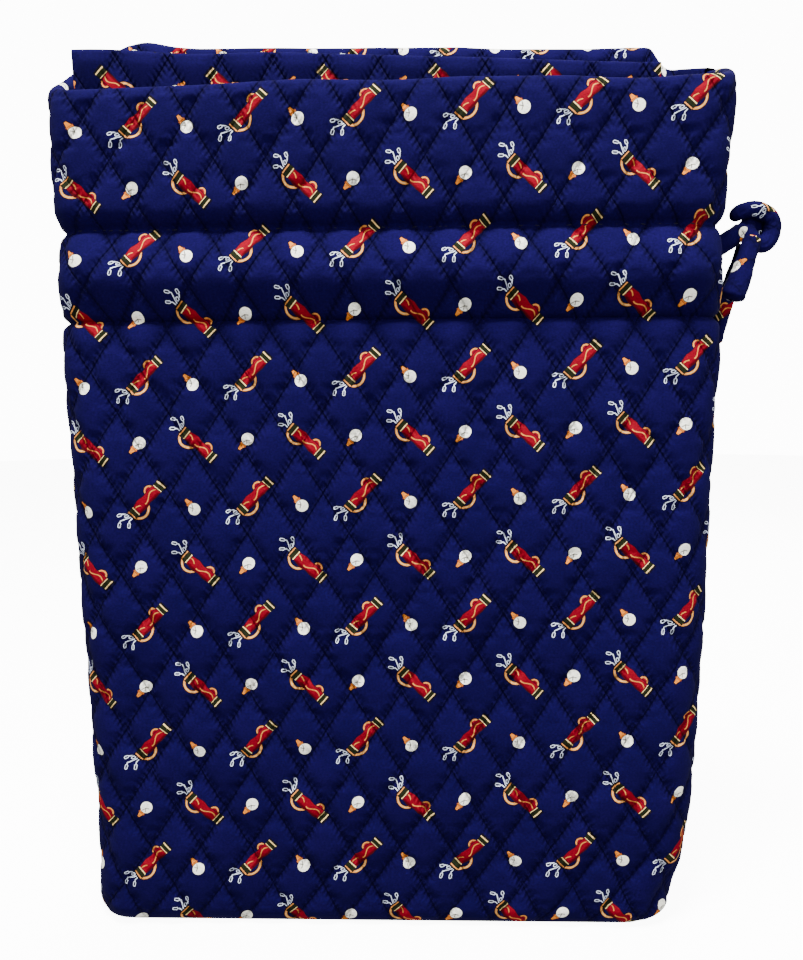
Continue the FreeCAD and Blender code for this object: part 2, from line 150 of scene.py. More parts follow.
def sizes(z):
    wide = np.interp(z, STATION_Z, STATION_W)
    deep = np.interp(z, STATION_Z, STATION_D)
    share = np.clip((z - CORNER_TAPER_Z) / (CASING_LOW_Z - CORNER_TAPER_Z), 0, 1)
    radius = BODY_CORNER + (HEADER_CORNER - BODY_CORNER) * share
    puff = casing_puff(z)
    return wide - CASING_NARROW * puff, deep + CASING_DEEPER * puff, radius


def half_length(z):
    wide, deep, radius = sizes(z)
    return wide - radius + math.pi / 2 * radius + deep - radius


def on_outline(share, z, side):
    """Point and outward normal on half of the outline. share runs -1 to 1 from the left seam to the right."""
    wide, deep, radius = sizes(z)
    total = half_length(z)
    along = np.abs(share) * total
    sign = np.where(share < 0, -1.0, 1.0)
    flat = wide - radius
    arc = math.pi / 2 * radius
    angle = np.clip((along - flat) / radius, 0, math.pi / 2)
    past = np.maximum(along - flat - arc, 0)
    x = np.minimum(along, flat) + radius * np.sin(angle)
    y = deep - radius + radius * np.cos(angle) - past
    normal = np.stack([sign * np.sin(angle), side * np.cos(angle), np.zeros_like(angle)], -1)
    point = np.stack([sign * x, side * y, z], -1)
    return point, normal, share * total


# ---- quilting ---------------------------------------------------------------------------
def quilt(u, t, height=PUFF):
    """Height of the padding above the quilting stitches, in mm."""
    p = (u - DIAMOND_U) / DIAMOND_WIDE
    q = (t - DIAMOND_T) / DIAMOND_TALL
    a = p + q
    b = p - q
    puff = np.abs(np.sin(np.pi * a) * np.sin(np.pi * b)) ** 0.55
    cell = lattice_noise(np.floor(a) + 0.5, np.floor(b) + 0.5, 5)
    return height * puff * (1 + 0.25 * cell)


# ---- how the empty bag slumps -------------------------------------------------------------
def ease(share):
    share = np.clip(share, 0, 1)
    return share * share * (3 - 2 * share)


def slump(points):
    """The bag leans a little at the bottom, and its back header draws in towards the top."""
    x, y, z = points[..., 0], points[..., 1], points[..., 2]
    high = ease((z - CASING_HIGH_Z - 6.0) / 76.0)
    behind = high * ease((y + 6.0) / 30.0)
    ahead = high * ease((10.0 - y) / 26.0)
    lean = -6.0 * np.exp(-z / 26.0) + 1.6 * high
    drawn = -4.0 * behind - 0.088 * behind * x
    left_fold = 4.6 * np.exp(-((x + 137.0) / 15.0) ** 2)
    tilt = behind * (1.6 - 0.014 * x + left_fold) + ahead * (1.2 + 0.007 * x - 0.0001 * x * x)
    left_foot = -3.2 * np.exp(-z / 3.5) * ease((-100.0 - x) / 30.0)
    right_foot = -3.2 * np.exp(-((z - 17.0) / 11.0) ** 2) * ease((x - 90.0) / 50.0)
    side_drop = 10.0 * high * ease((x - 147.0) / 9.0) * ease((y + 18.0) / 44.0)
    return np.stack([x + lean + left_foot + right_foot + drawn, y, z + tilt - side_drop], -1)


# ---- meshes -----------------------------------------------------------------------------
def grid_mesh(name, points, uv, closed=False, smooth=True):
    """Mesh over a grid of points in mm. uv holds flat cloth coordinates in mm."""
    rows, cols = points.shape[:2]
    mesh = bpy.data.meshes.new(name)
    mesh.vertices.add(rows * cols)
    mesh.vertices.foreach_set("co", (points.reshape(-1, 3) * MM).ravel())
    i, j = np.meshgrid(np.arange(rows - 1), np.arange(cols - (0 if closed else 1)), indexing="ij")
    k = (j + 1) % cols
    quads = np.stack([i * cols + j, i * cols + k, (i + 1) * cols + k, (i + 1) * cols + j], -1).reshape(-1, 4)
    count = len(quads)
    mesh.loops.add(count * 4)
    mesh.loops.foreach_set("vertex_index", quads.ravel())
    mesh.polygons.add(count)
    mesh.polygons.foreach_set("loop_start", np.arange(count) * 4)
    mesh.polygons.foreach_set("loop_total", np.full(count, 4))
    mesh.polygons.foreach_set("use_smooth", np.full(count, smooth))
    if uv is not None:
        layer = mesh.uv_layers.new(name="cloth")
        flat = uv.reshape(-1, 2)[quads.ravel()] * MM
        layer.data.foreach_set("uv", flat.ravel())
    mesh.update()
    mesh.validate()
    obj = bpy.data.objects.new(name, mesh)
    bpy.context.scene.collection.objects.link(obj)
    return obj


def place(points, share):
    """Pushes points out along their normals."""
    return points[0] + points[1] * share[..., None]


# ---- cloth simulation -------------------------------------------------------------------
SIM_STEP = 2.4               # mm between the simulated cloth's threads
SIM_FRAMES = 14
SIM_PRESSURE = 1000.0
SIM_GAIN = 1.15
SIM_MOST = 5.2               # no point of the padding rises further than this
FLAT_FROM = 2.3              # above this the filling pushes less, so the diamonds are flat in the middle


SHEET_HALF = 178.0
# The front cloth and the back cloth: where each starts down the length, and how long it is.
SHEETS = {
    -1.0: (CASING_LOW_Z - TOP_Z - 4.0, 2 * TOP_Z - CASING_LOW_Z + 8.0),
    1.0: (TOP_Z + BOTTOM_DEPTH - 4.0, 2 * BACK_TOP_Z - CASING_LOW_Z + 8.0),
}
simulated = {}


def seam_gap(u, t):
    """Distance in mm from the nearest quilting seam."""
    p = (u - DIAMOND_U) / DIAMOND_WIDE
    q = (t - DIAMOND_T) / DIAMOND_TALL
    near = 0.5 * DIAMOND_WIDE * DIAMOND_TALL / DIAMOND_SIDE
    gaps = [np.abs(line - np.round(line)) * near for line in (p + q, p - q)]
    return np.minimum(*gaps)


def simulate_padding(wide, tall, first_t, seed):
    """Height of stitched cloth over its filling: a flat sheet held along the seams swells under pressure."""
    cols = int(2 * wide / SIM_STEP) + 1
    rows = int(tall / SIM_STEP) + 1
    u = np.linspace(-wide, wide, cols)[None, :] * np.ones((rows, 1))
    t = first_t + np.linspace(0, tall, rows)[:, None] * np.ones((1, cols))
    start = 0.5 * quilt(u, t) + 0.10 * wrinkles(u, t, seed)
    sheet = grid_mesh("simulated_sheet", np.stack([u, start, -t], -1), None)
    held = sheet.vertex_groups.new(name="held")
    border = (np.abs(u) > wide - SIM_STEP) | (t < first_t + SIM_STEP) | (t > first_t + tall - SIM_STEP)
    stitched = np.flatnonzero((seam_gap(u, t) < 0.5 * SIM_STEP) | border)
    held.add([int(i) for i in stitched], 1.0, "REPLACE")
    cloth = sheet.modifiers.new("cloth", "CLOTH")
    settings = cloth.settings
    settings.quality = 5
    settings.mass = 0.15
    settings.tension_stiffness = 12.0
    settings.compression_stiffness = 12.0
    settings.bending_stiffness = 5.0
    settings.shrink_min = -0.05
    settings.vertex_group_mass = "held"
    settings.use_pressure = True
    settings.uniform_pressure_force = SIM_PRESSURE
    settings.effector_weights.gravity = 0.0
    scene = bpy.context.scene
    cloth.point_cache.frame_start = 1
    cloth.point_cache.frame_end = SIM_FRAMES
    for number in range(1, SIM_FRAMES + 1):
        scene.frame_set(number)
    result = sheet.evaluated_get(bpy.context.evaluated_depsgraph_get()).to_mesh()
    points = np.empty(rows * cols * 3)
    result.vertices.foreach_get("co", points)
    points = points.reshape(rows, cols, 3) / MM
    bpy.data.objects.remove(sheet)
    scene.frame_set(1)
    return np.clip(points[..., 1], -0.4, SIM_MOST)


def padding(u, t, side):
    """Height of the padding of the front (-1) or back (1) cloth above its quilting stitches."""
    first_t, tall = SHEETS[side]
    if side not in simulated:
        puffed = SIM_GAIN * simulate_padding(SHEET_HALF, tall, first_t, 90 + side)
        simulated[side] = 1.35 * FLAT_FROM * np.tanh(puffed / FLAT_FROM)
    field = simulated[side]
    rows, cols = field.shape
    x = np.clip((u + SHEET_HALF) / (2 * SHEET_HALF), 0, 1) * (cols - 1.001)
    y = np.clip((t - first_t) / tall, 0, 1) * (rows - 1.001)
    i = y.astype(int)
    j = x.astype(int)
    fy = y - i
    fx = x - j
    top = field[i, j] * (1 - fx) + field[i, j + 1] * fx
    low = field[i + 1, j] * (1 - fx) + field[i + 1, j + 1] * fx
    return top * (1 - fy) + low * fy


# ---- node expressions -------------------------------------------------------------------
class Value:
    """A node socket that can be combined with numbers and other sockets."""

    def __init__(self, tree, socket):
        self.tree = tree
        self.socket = socket

    def make(self, operation, *inputs):
        node = self.tree.nodes.new("ShaderNodeMath")
        node.operation = operation
        for index, item in enumerate(inputs):
            if isinstance(item, Value):
                self.tree.links.new(item.socket, node.inputs[index])
            else:
                node.inputs[index].default_value = item
        return Value(self.tree, node.outputs[0])

    def __add__(self, other):
        return self.make("ADD", self, other)

    def __radd__(self, other):
        return self.make("ADD", other, self)

    def __sub__(self, other):
        return self.make("SUBTRACT", self, other)

    def __rsub__(self, other):
        return self.make("SUBTRACT", other, self)

    def __mul__(self, other):
        return self.make("MULTIPLY", self, other)

    def __rmul__(self, other):
        return self.make("MULTIPLY", other, self)

    def __truediv__(self, other):
        return self.make("DIVIDE", self, other)

    def sin(self):
        return self.make("SINE", self)

    def abs(self):
        return self.make("ABSOLUTE", self)

    def root(self):
        return self.make("SQRT", self)

    def fract(self):
        return self.make("FRACT", self)

    def floor(self):
        return self.make("FLOOR", self)

    def power(self, other):
        return self.make("POWER", self, other)

    def least(self, other):
        return self.make("MINIMUM", self, other)

    def most(self, other):
        return self.make("MAXIMUM", self, other)

    def below(self, other):
        return self.make("LESS_THAN", self, other)

    def above(self, other):
        return self.make("GREATER_THAN", self, other)

    def clamp(self):
        return self.most(0.0).least(1.0)

    def inside(self, soft=0.12):
        """1 where a distance is below zero, with an edge soft mm wide."""
        return (0.5 - self / soft).clamp()


def choose(test, yes, no):
    """yes where test is 1, no where it is 0."""
    return no + test * (yes - no)


def distance(x, y, at_x, at_y):
    dx = x - at_x
    dy = y - at_y
    return (dx * dx + dy * dy).root()


def capsule(x, y, a, b, radius):
    """Distance from a round-ended bar between two points."""
    along = (b[0] - a[0], b[1] - a[1])
    length2 = along[0] ** 2 + along[1] ** 2
    px = x - a[0]
    py = y - a[1]
    share = ((px * along[0] + py * along[1]) / length2).clamp()
    dx = px - share * along[0]
    dy = py - share * along[1]
    return (dx * dx + dy * dy).root() - radius


class Paint:
    """Colour built up in layers."""

    def __init__(self, tree, colour):
        self.tree = tree
        self.colour = colour

    def layer(self, mask, colour):
        mix = self.tree.nodes.new("ShaderNodeMix")
        mix.data_type = "RGBA"
        self.tree.links.new(mask.socket, mix.inputs[0])
        for index, item in ((6, self.colour), (7, colour)):
            if isinstance(item, tuple):
                mix.inputs[index].default_value = item + (1.0,)
            else:
                self.tree.links.new(item, mix.inputs[index])
        self.colour = mix.outputs[2]


def linear(red, green, blue):
    """Scene colour of an sRGB colour from 0 to 255."""
    out = []
    for part in (red, green, blue):
        share = part / 255
        out.append(share / 12.92 if share <= 0.04045 else ((share + 0.055) / 1.055) ** 2.4)
    return tuple(out)


NAVY = (0.0022, 0.0002, 0.029)
NAVY_PALE = (0.0062, 0.0014, 0.058)
OUTLINE = linear(14, 10, 22)
RED = linear(118, 3, 24)
RED_DARK = linear(64, 2, 10)
TAN = linear(206, 132, 62)
TAN_DARK = linear(160, 80, 30)
CREAM = linear(230, 196, 128)
GREEN = linear(26, 30, 16)
SILVER = linear(214, 222, 246)
BALL_WHITE = linear(254, 252, 238)
BALL_LINE = linear(56, 50, 40)
TEE = linear(216, 124, 40)


def ramp(tree, value, stops, colours=True, constant=False):
    node = tree.nodes.new("ShaderNodeValToRGB")
    node.color_ramp.interpolation = "CONSTANT" if constant else "LINEAR"
    elements = node.color_ramp.elements
    while len(elements) > 1:
        elements.remove(elements[-1])
    for index, (at, item) in enumerate(stops):
        element = elements[0] if index == 0 else elements.new(at)
        element.position = at
        element.color = item + (1.0,) if colours else (item, item, item, 1.0)
    tree.links.new(value.socket, node.inputs[0])
    return node.outputs[0]


# The golf bag of the print, in mm along its axis from its middle; the clubs lie below zero.
BAG_LOW = -8.0
BAG_HIGH = 14.0
BAG_BANDS = [
    (-8.0, OUTLINE), (-7.55, TAN), (-6.9, OUTLINE), (-6.6, GREEN), (-4.9, OUTLINE), (-4.7, CREAM),
    (-4.2, OUTLINE), (-3.9, RED), (9.6, OUTLINE), (9.8, CREAM), (10.2, OUTLINE), (10.4, GREEN),
    (12.1, CREAM), (12.7, OUTLINE),
]
BAG_WIDTHS = [
    (-8.0, 2.1), (-7.0, 2.4), (-4.7, 2.5), (-3.8, 2.2), (0.0, 2.8), (3.4, 2.1), (6.6, 2.5),
    (9.4, 2.3), (12.7, 2.5), (14.0, 2.5),
]
WIDEST = 4.0
CLUBS = [
    ((-14.9, -0.9), (-12.6, -2.2), (-7.6, 0.4)),
    ((-12.0, 2.6), (-9.9, 0.9), (-7.6, 0.9)),
    ((-11.4, -4.6), (-9.6, -3.7), (-7.6, -1.0)),
    ((-9.4, -1.9), (-8.2, -1.1), (-7.0, -0.4)),
]
HEADING_A = math.radians(45.6)
HEADING_B = math.radians(-43.0)
TEE_A = math.radians(129.0)
TEE_B = math.radians(228.0)
BAG_A = (0.525 * REPEAT_U, -3.2)
BAG_B = (0.505 * REPEAT_U, 0.0)
BAND_FROM = -17.5
BAND_SPLIT = 11.5


def print_colour(tree, u, t, base):
    """Colour of the golf print at flat cloth coordinates in mm, over a base colour."""
    row = ((t + u * PRINT_SKEW - (BALL_T + BAND_FROM)) / REPEAT_T).fract() * REPEAT_T + BAND_FROM
    is_b = row.above(BAND_SPLIT)
    shift = is_b * (0.5 * REPEAT_U)

    def across(offset):
        return ((u - BALL_U - shift - offset) / REPEAT_U + 0.5).fract() * REPEAT_U - REPEAT_U / 2

    paint = Paint(tree, base)
    # ball and tee
    ball_x = across(0.0)
    ball_y = (choose(is_b, ROW_B, 0.0) - row)
    cos_t = choose(is_b, math.cos(TEE_B), math.cos(TEE_A))
    sin_t = choose(is_b, math.sin(TEE_B), math.sin(TEE_A))
    out = ball_x * cos_t + ball_y * sin_t
    side = ball_y * cos_t - ball_x * sin_t
    taper = (out - 2.4) * 0.30
    tee = (side.abs() - (1.75 - taper)).most(2.0 - out).most(out - 6.3)
    cup = (side.abs() - 1.75).most(3.3 - out).most(out - 4.0)
    paint.layer((tee - 0.25).inside(), OUTLINE)
    paint.layer((tee + 0.15).inside(), TEE)
    paint.layer((cup + 0.1).inside(), TAN_DARK)
    from_ball = (ball_x * ball_x + ball_y * ball_y).root()
    paint.layer((from_ball - 3.15).inside(), OUTLINE)
    paint.layer((from_ball - 2.85).inside(), BALL_WHITE)
    for to_x, to_y in ((-0.6, 1.5), (1.5, 1.1), (1.9, -0.7)):
        mark = capsule(out, side, (0.6, 0.1), (to_x + 0.4, to_y * 0.9), 0.2)
        paint.layer(mark.inside(0.3) * 0.95, BALL_LINE)

    # golf bag
    bag_x = across(BAG_B[0]) * is_b + across(BAG_A[0]) * (1.0 - is_b)
    bag_y = choose(is_b, ROW_B + BAG_B[1], BAG_A[1]) - row
    cos_h = choose(is_b, math.cos(HEADING_B), math.cos(HEADING_A))
    sin_h = choose(is_b, math.sin(HEADING_B), math.sin(HEADING_A))
    x = bag_x * cos_h + bag_y * sin_h
    y = bag_x * sin_h - bag_y * cos_h
    ring = (distance(x, y, -2.6, 0.15) - 4.7).abs().most(1.6 - y)
    paint.layer((ring - 0.92).inside(), OUTLINE)
    paint.layer((ring - 0.54).inside(), TAN)
    paint.layer(((ring - 0.12).inside(0.3) * (y - 3.0).clamp()), CREAM)
    bulge = distance(x, y, 7.0, -2.0)
    paint.layer((bulge - 2.75).inside(), OUTLINE)
    paint.layer((bulge - 2.4).inside(), TAN)
    paint.layer((bulge - 1.7).inside(), RED)
    for head, neck, grip in CLUBS:
        shaft = capsule(x, y, neck, grip, 0.55).least(capsule(x, y, head, neck, 0.55))
        blade = capsule(x, y, head, (head[0] + (neck[0] - head[0]) * 0.45, head[1] + (neck[1] - head[1]) * 0.45), 1.05)
        club = shaft.least(blade)
        paint.layer(club.inside(), OUTLINE)
        paint.layer((club + 0.32).inside(), SILVER)
        paint.layer((blade + 0.66).inside(0.2), OUTLINE)
    share = (x - BAG_LOW) / (BAG_HIGH - BAG_LOW)
    stops = [((at - BAG_LOW) / (BAG_HIGH - BAG_LOW), w / WIDEST) for at, w in BAG_WIDTHS]
    width = Value(tree, ramp(tree, share, stops, colours=False)) * WIDEST
    body = (y.abs() - width).most(BAG_LOW - x).most(x - 13.4)
    bands = [((at - BAG_LOW) / (BAG_HIGH - BAG_LOW), c) for at, c in BAG_BANDS]
    band_colour = ramp(tree, share, bands, constant=True)
    paint.layer((body - 0.3).inside(), OUTLINE)
    paint.layer(body.inside(), band_colour)
    red_part = (x + 3.9).clamp() * (9.6 - x).clamp() * body.inside()
    paint.layer(red_part * (y - 1.0).clamp(), RED_DARK)
    crease = (y - (x * 0.62 + 0.4).sin() * 1.1).abs() - 0.26
    paint.layer(crease.inside(0.2) * red_part * (x - 0.2).abs().above(1.0), TAN)
    return paint.colour


# ---- materials --------------------------------------------------------------------------
def cloth_material(name, printed=True, turned=False, base=NAVY, pale=NAVY_PALE, bump=0.8):
    """Woven cotton, with the golf print if printed. It reads flat cloth coordinates from the mesh."""
    material = bpy.data.materials.new(name)
    material.use_nodes = True
    tree = material.node_tree
    shader = tree.nodes["Principled BSDF"]
    shader.inputs["Roughness"].default_value = 0.95
    shader.inputs["Specular IOR Level"].default_value = 0.05
    shader.inputs["Sheen Weight"].default_value = 0.0
    shader.inputs["Sheen Roughness"].default_value = 0.45
    uv = tree.nodes.new("ShaderNodeUVMap")
    uv.uv_map = "cloth"
    split = tree.nodes.new("ShaderNodeSeparateXYZ")
    tree.links.new(uv.outputs[0], split.inputs[0])
    u = Value(tree, split.outputs[0]) * 1000.0
    t = Value(tree, split.outputs[1]) * 1000.0

    blotch = tree.nodes.new("ShaderNodeTexNoise")
    blotch.inputs["Scale"].default_value = 38.0
    blotch.inputs["Detail"].default_value = 5.0
    tree.links.new(uv.outputs[0], blotch.inputs["Vector"])
    slub = tree.nodes.new("ShaderNodeTexNoise")
    slub.inputs["Scale"].default_value = 900.0
    slub.inputs["Detail"].default_value = 2.0
    tree.links.new(uv.outputs[0], slub.inputs["Vector"])
    shade = (Value(tree, blotch.outputs[0]) - 0.35) * 0.9 + (Value(tree, slub.outputs[0]) - 0.5) * 1.3
    mix = tree.nodes.new("ShaderNodeMix")
    mix.data_type = "RGBA"
    tree.links.new(shade.clamp().socket, mix.inputs[0])
    mix.inputs[6].default_value = base + (1.0,)
    mix.inputs[7].default_value = pale + (1.0,)
    ground = mix.outputs[2]
    colour = print_colour(tree, u, t, ground) if printed else ground

    # weave, the small puckers along each quilting seam, and painted shade down in each seam
    warp = (u * (2 * math.pi / 0.55)).sin()
    weft = (t * (2 * math.pi / 0.55)).sin()
    p = (u - DIAMOND_U) / DIAMOND_WIDE
    q = (t - DIAMOND_T) / DIAMOND_TALL
    a = p + q
    b = p - q
    near = DIAMOND_WIDE * DIAMOND_TALL / math.hypot(DIAMOND_WIDE, DIAMOND_TALL)
    # random jitter for the seam puckers and for the width of the painted seam shade
    seam_jitter = Value(tree, blotch.outputs[0]) - 0.5

    def seam(across, along):
        off = (across.fract() - 0.5).abs() * -1.0 + 0.5
        gap = off * near
        fade = (1.0 - gap / 4.6).clamp()
        pucker = (along * STITCH_WAVES + seam_jitter * 5.0).sin() * (seam_jitter * 2.2 + 0.9)
        groove = (1.0 - gap / 0.7).clamp() * -0.9
        return fade * fade * pucker * 0.5 + groove

    def shadow(across, along):
        """Painted shade: the cloth is coloured darker down in a quilting seam, and each stitch pulls a pucker out of
        it.
        """
        gap = ((across.fract() - 0.5).abs() * -1.0 + 0.5) * near
        pucker = (along * STITCH_WAVES + seam_jitter * 5.0).sin() * 0.8 + seam_jitter * 5.5
        return (1.0 - gap / (pucker + SEAM_SHADE_WIDE).most(0.8)).clamp().power(1.2)

    # painted shade: how much the colour is darkened down in the quilting seams
    deep = shadow(a, b).most(shadow(b, a)) * SEAM_SHADE
    streak = tree.nodes.new("ShaderNodeTexNoise")
    streak.inputs["Scale"].default_value = 1.0
    streak.inputs["Detail"].default_value = 3.0
    stretch = tree.nodes.new("ShaderNodeCombineXYZ")
    tree.links.new((u * 0.9).socket, stretch.inputs[0])
    tree.links.new((t * 1.6).socket, stretch.inputs[1])
    tree.links.new(stretch.outputs[0], streak.inputs["Vector"])
    # colour multiplier: the painted seam shade times the weave's fine specks
    light = (1.0 - deep) * (Value(tree, streak.outputs[0]) * 1.1 + 0.46)
    shading = tree.nodes.new("ShaderNodeMix")
    shading.data_type = "RGBA"
    shading.blend_type = "MULTIPLY"
    shading.inputs[0].default_value = 1.0
    tree.links.new(colour, shading.inputs[6])
    tree.links.new(light.socket, shading.inputs[7])
    tree.links.new(shading.outputs[2], shader.inputs["Base Color"])

    height = seam(a, b) + seam(b, a) + (warp * weft) * 0.035 + (Value(tree, slub.outputs[0]) - 0.5) * 0.10
    bumps = tree.nodes.new("ShaderNodeBump")
    bumps.inputs["Strength"].default_value = bump
    bumps.inputs["Distance"].default_value = 0.001
    tree.links.new(height.socket, bumps.inputs["Height"])
    tree.links.new(bumps.outputs[0], shader.inputs["Normal"])
    return material


def plain_material(name, colour, roughness=0.8, noise_scale=600.0, spread=0.25):
    material = bpy.data.materials.new(name)
    material.use_nodes = True
    tree = material.node_tree
    shader = tree.nodes["Principled BSDF"]
    shader.inputs["Roughness"].default_value = roughness
    shader.inputs["Specular IOR Level"].default_value = 0.25
    place_at = tree.nodes.new("ShaderNodeTexCoord")
    noise = tree.nodes.new("ShaderNodeTexNoise")
    noise.inputs["Scale"].default_value = noise_scale
    tree.links.new(place_at.outputs["Object"], noise.inputs["Vector"])
    mix = tree.nodes.new("ShaderNodeMix")
    mix.data_type = "RGBA"
    tree.links.new(noise.outputs[0], mix.inputs[0])
    mix.inputs[6].default_value = tuple(c * (1 - spread) for c in colour) + (1.0,)
    mix.inputs[7].default_value = tuple(min(1.0, c * (1 + spread)) for c in colour) + (1.0,)
    tree.links.new(mix.outputs[2], shader.inputs["Base Color"])
    bumps = tree.nodes.new("ShaderNodeBump")
    bumps.inputs["Strength"].default_value = 0.3
    bumps.inputs["Distance"].default_value = 0.0005
    tree.links.new(noise.outputs[0], bumps.inputs["Height"])
    tree.links.new(bumps.outputs[0], shader.inputs["Normal"])
    return material


# how dark the painted shade along the quilting seams is, and how wide it spreads in mm
SEAM_SHADE = 0.35
SEAM_SHADE_WIDE = 2.6
STITCH_WAVES = 2 * math.pi * DIAMOND_SIDE / 2.7    # a stitch of the quilting every 2.7 mm
PRINTED = cloth_material("printed_cotton")
LINING = cloth_material("lining", printed=False, base=linear(22, 24, 78), pale=linear(34, 38, 100))
THREAD = plain_material("thread", linear(6, 5, 30))

# ---- body walls -------------------------------------------------------------------------
BOTTOM_T = TOP_Z
BACK_T0 = TOP_Z + BOTTOM_DEPTH


def cloth_t(z, side):
    """Flat cloth coordinate of a height on the front (-1) or the back (1)."""
    return TOP_Z - z if side < 0 else BACK_T0 + z


def panel_flatness(normal):
    """Less puff round the sides, where the cloth is pulled tight."""
    return 1.0 - 0.55 * normal[..., 0] ** 2


def body_skin(name, side, low, high, lining=False):
    rows = int((high - low) / GRID) + 1
    cols = int(2 * 165.0 / GRID)
    z = np.linspace(high, low, rows)[:, None] * np.ones((1, cols))
    share = np.linspace(-1, 1, cols)[None, :] * np.ones((rows, 1))
    point, normal, u = on_outline(share, z, side)
    t = cloth_t(z, side)
    edge = np.clip((1 - np.abs(share)) * 165.0 / 10.0, 0, 1) ** 0.5
    top = np.clip((CASING_LOW_Z - z) / 9.0, 0, 1) ** 0.5
    base = np.clip((z - low) / 8.0, 0, 1) ** 0.7
    out = padding(u, t, side) * edge * top * base
    out = (out + wrinkles(u, t, 11 + side) * edge * base * top) * panel_flatness(normal) - 0.8
    out = out - 2.2 * np.exp(-((CASING_LOW_Z - z) / 1.8) ** 2)
    if lining:
        out = -4.2 - 0.35 * out
    surface = slump(place((point, normal), out))
    return grid_mesh(name, surface, np.stack([u, t], -1))


front_body = body_skin("front_quilted_cloth", -1.0, 0.4, CASING_LOW_Z)
back_body = body_skin("back_quilted_cloth", 1.0, 0.4, CASING_LOW_Z)
front_inside = body_skin("front_quilted_lining", -1.0, 4.0, CASING_LOW_Z, True)
back_inside = body_skin("back_quilted_lining", 1.0, 4.0, CASING_LOW_Z, True)


def edge_height(point_y):
    """The header's top edge rises from the front panel to the back one."""
    front = TOP_Z
    share = np.clip((point_y + 31.0) / 62.0, 0, 1)
    return front + (BACK_TOP_Z - front) * share


def header_skin(name, side):
    """Half of the header from the lower casing seam up, over the rolled edge and down inside to the same seam."""
    step = 1.25
    roll_radius = 3.0
    full = (TOP_Z if side < 0 else BACK_TOP_Z) - roll_radius
    outer_z = np.arange(CASING_LOW_Z, full, step)
    roll = np.linspace(0, math.pi, 9)
    inner_z = outer_z[::-1]
    cols = int(2 * 172.0 / GRID)
    depth = np.concatenate([
        np.zeros(len(outer_z)), roll_radius * (1 - np.cos(roll)), np.full(len(inner_z), 2 * roll_radius),
    ])
    level = np.concatenate([outer_z, full + roll_radius * np.sin(roll), inner_z])
    inner = (np.arange(len(level)) > len(outer_z) + 4)[:, None]
    z = level[:, None] * np.ones((1, cols))
    share = np.linspace(-1, 1, cols)[None, :] * np.ones((len(level), 1))
    inset = depth[:, None] * np.ones((1, cols))
    point, normal, u = on_outline(share, z, side)
    rim_z = edge_height(point[..., 1])
    above = np.clip(z - CASING_HIGH_Z, 0, None)
    z = np.where(above > 0, CASING_HIGH_Z + above * (rim_z - CASING_HIGH_Z) / (full + roll_radius - CASING_HIGH_Z), z)
    point[..., 2] = z
    puff = casing_puff(z)
    outward = np.where(inner, -CASING_IN * puff, CASING_OUT * puff)
    rim_t = cloth_t(rim_z, side)
    down = rim_z - z
    t = rim_t - side * np.where(inner, -down, down)
    edge = np.clip((1 - np.abs(share)) * 172.0 / 8.0, 0, 1) ** 0.5
    low_seam = np.clip((z - CASING_LOW_Z) / 9.0, 0, 1) ** 0.5
    high_seam = np.clip(np.abs(z - CASING_HIGH_Z) / 9.0, 0, 1) ** 0.5
    seams = low_seam * high_seam
    rim = np.clip(down / 6.0, 0, 1)
    sign = np.where(inner, -1.0, 1.0)
    soft = padding(u, t, side) * edge * seams * rim
    soft = (soft + 0.7 * wrinkles(u, t, 31 + side) * edge * seams) * panel_flatness(normal)
    pinch = np.exp(-((z - CASING_HIGH_Z) / 1.9) ** 2) + 0.9 * np.exp(-((z - CASING_LOW_Z) / 1.8) ** 2)
    pinch = np.where(inner, 0.0, 2.4 * pinch)
    gather = (1 - high_seam) * np.sin(u * 2 * np.pi / 7.1 + 2 * lattice_noise(u / 19.0, z / 50.0, 3)) * 0.5
    out = outward - inset + sign * (soft + gather) - 0.8 - pinch
    ruffle = np.clip((z - CASING_HIGH_Z) / 63.0, 0, 1)
    overhang = 2.2 * ease((z - CASING_HIGH_Z - 1.0) / 7.0) * np.where(inner, 0.0, 1.0)
    out = out + overhang * (1.0 - 0.6 * ruffle) * panel_flatness(normal)
    out = out + lattice_noise(u / 55.0, z * 0, 41 + side) * 1.8 * ruffle ** 1.5
    surface = place((point, normal), out)
    surface[..., 2] += lattice_noise(u / 37.0, z * 0, 51 + side) * 1.1 * ruffle
    return grid_mesh(name, slump(surface), np.stack([u, t], -1))


front_header = header_skin("front_header_quilted_cloth", -1.0)
back_header = header_skin("back_header_quilted_cloth", 1.0)

for piece in (front_body, back_body, front_header, back_header):
    piece.data.materials.append(PRINTED)
for piece in (front_inside, back_inside):
    piece.data.materials.append(LINING)
    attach(piece, "bag")

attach(front_body, "bag")
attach(back_body, "bag")
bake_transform(front_header)
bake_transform(back_header)
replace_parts(front_body, "front_outer_cloth", "front_batting")
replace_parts(back_body, "back_outer_cloth", "back_batting", "left_side_batting", "right_side_batting")
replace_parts(front_inside, "front_lining")
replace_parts(back_inside, "back_lining")
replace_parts(front_header, "front_header_cloth", "front_header_batting", "front_header_facing",
            "front_header_fold", "left_header_side_cloth", "left_header_side_batting",
            "left_header_side_facing", "left_header_side_fold")
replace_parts(back_header, "back_header_cloth", "back_header_batting", "back_header_facing",
            "back_header_fold", "right_header_side_cloth", "right_header_side_batting",
            "right_header_side_facing", "right_header_side_fold")


# ---- divider ----------------------------------------------------------------------------
def divider_y(z):
    share = np.clip((z - 90.0) / (DIVIDER_TOP_Z - 90.0), 0, 1)
    return -12.0 * share - 4.0 * share ** 6


